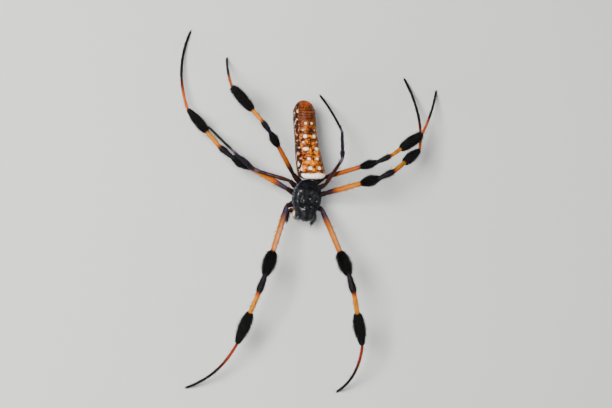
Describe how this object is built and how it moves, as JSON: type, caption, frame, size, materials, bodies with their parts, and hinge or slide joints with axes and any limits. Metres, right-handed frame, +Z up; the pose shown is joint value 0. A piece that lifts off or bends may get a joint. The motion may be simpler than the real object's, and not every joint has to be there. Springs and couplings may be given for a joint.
{
  "type": "golden silk orb weaver",
  "caption": "Life-size adult female golden silk orb weaver, a still model with brushes of hair on its long legs, standing on all its feet.",
  "frame": {"origin": "on the floor, under the middle of the bounding box", "axes": "+Z up, away from the floor; -Y the way the head points, seen from above; +X the spider's own left"},
  "size_m": [0.0662, 0.0898, 0.0217],
  "materials": {
    "silvery_plate": "black plate under short silvery hair",
    "dark_cuticle": "satin, very dark brown",
    "orange_cuticle": "satin orange, black hair brushes at the far end",
    "foot_cuticle": "satin, orange-red to black",
    "abdomen_skin": "soft skin, golden orange with pale spots",
    "eye": "polished black"
  },
  "bodies": {
    "root": {"abdomen": "abdomen_skin", "carapace": "silvery_plate", "chelicera_left": "dark_cuticle", "chelicera_right": "dark_cuticle", "eye_front_middle_left": "eye", "eye_front_middle_right": "eye", "eye_front_side_left": "eye", "eye_front_side_right": "eye", "eye_rear_middle_left": "eye", "eye_rear_middle_right": "eye", "eye_rear_side_left": "eye", "eye_rear_side_right": "eye", "fang_left": "dark_cuticle", "fang_right": "dark_cuticle", "leg_1_left_coxa": "dark_cuticle", "leg_1_left_femur": "orange_cuticle", "leg_1_left_foot": "foot_cuticle", "leg_1_left_patella": "dark_cuticle", "leg_1_left_tibia": "orange_cuticle", "leg_1_right_coxa": "dark_cuticle", "leg_1_right_femur": "orange_cuticle", "leg_1_right_foot": "foot_cuticle", "leg_1_right_patella": "dark_cuticle", "leg_1_right_tibia": "orange_cuticle", "leg_2_left_coxa": "dark_cuticle", "leg_2_left_femur": "orange_cuticle", "leg_2_left_foot": "foot_cuticle", "leg_2_left_patella": "dark_cuticle", "leg_2_left_tibia": "orange_cuticle", "leg_2_right_coxa": "dark_cuticle", "leg_2_right_femur": "orange_cuticle", "leg_2_right_foot": "foot_cuticle", "leg_2_right_patella": "dark_cuticle", "leg_2_right_tibia": "orange_cuticle", "leg_3_left_coxa": "dark_cuticle", "leg_3_left_femur": "dark_cuticle", "leg_3_left_foot": "foot_cuticle", "leg_3_left_patella": "dark_cuticle", "leg_3_left_tibia": "dark_cuticle", "leg_3_right_coxa": "dark_cuticle", "leg_3_right_femur": "dark_cuticle", "leg_3_right_foot": "foot_cuticle", "leg_3_right_patella": "dark_cuticle", "leg_3_right_tibia": "dark_cuticle", "leg_4_left_coxa": "dark_cuticle", "leg_4_left_femur": "orange_cuticle", "leg_4_left_foot": "foot_cuticle", "leg_4_left_patella": "dark_cuticle", "leg_4_left_tibia": "orange_cuticle", "leg_4_right_coxa": "dark_cuticle", "leg_4_right_femur": "orange_cuticle", "leg_4_right_foot": "foot_cuticle", "leg_4_right_patella": "dark_cuticle", "leg_4_right_tibia": "orange_cuticle", "mouthparts": "dark_cuticle", "pedicel": "dark_cuticle", "pedipalp_left": "dark_cuticle", "pedipalp_right": "dark_cuticle", "spinnerets": "dark_cuticle", "sternum": "dark_cuticle"}
  },
  "joints": []
}
